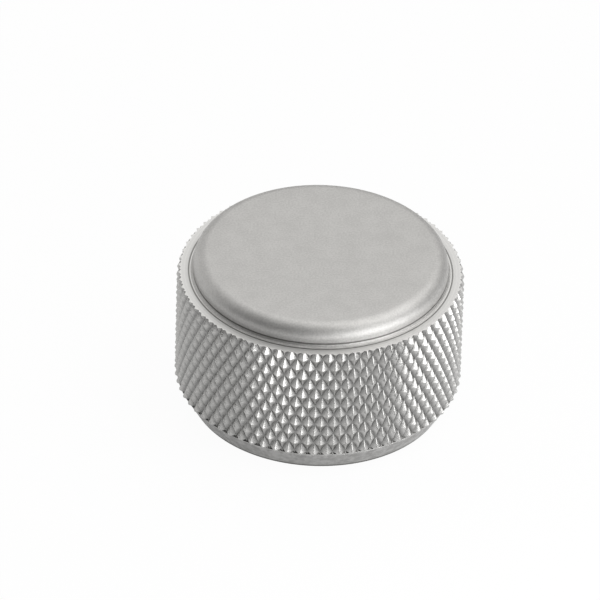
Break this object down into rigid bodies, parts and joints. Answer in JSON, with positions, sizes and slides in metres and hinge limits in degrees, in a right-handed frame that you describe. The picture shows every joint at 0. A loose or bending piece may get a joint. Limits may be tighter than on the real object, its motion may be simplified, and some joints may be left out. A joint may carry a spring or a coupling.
{
  "type": "cabinet knob",
  "caption": "Round turned metal cabinet knob with a diamond-knurled grip, low rounded cap and tapered foot, fixed by a screw into its base.",
  "frame": {"origin": "centre of the flat base face, where the knob meets the door or drawer front", "axes": "+Z along the knob's axis, away from the base towards the cap; -Y is the front"},
  "size_m": [0.03, 0.03, 0.0178],
  "materials": {
    "satin_metal": "fine blasted satin on the cap, bright turned shoulder and foot, cut diamond knurl"
  },
  "bodies": {
    "root": {"knob": "satin_metal"}
  },
  "joints": []
}
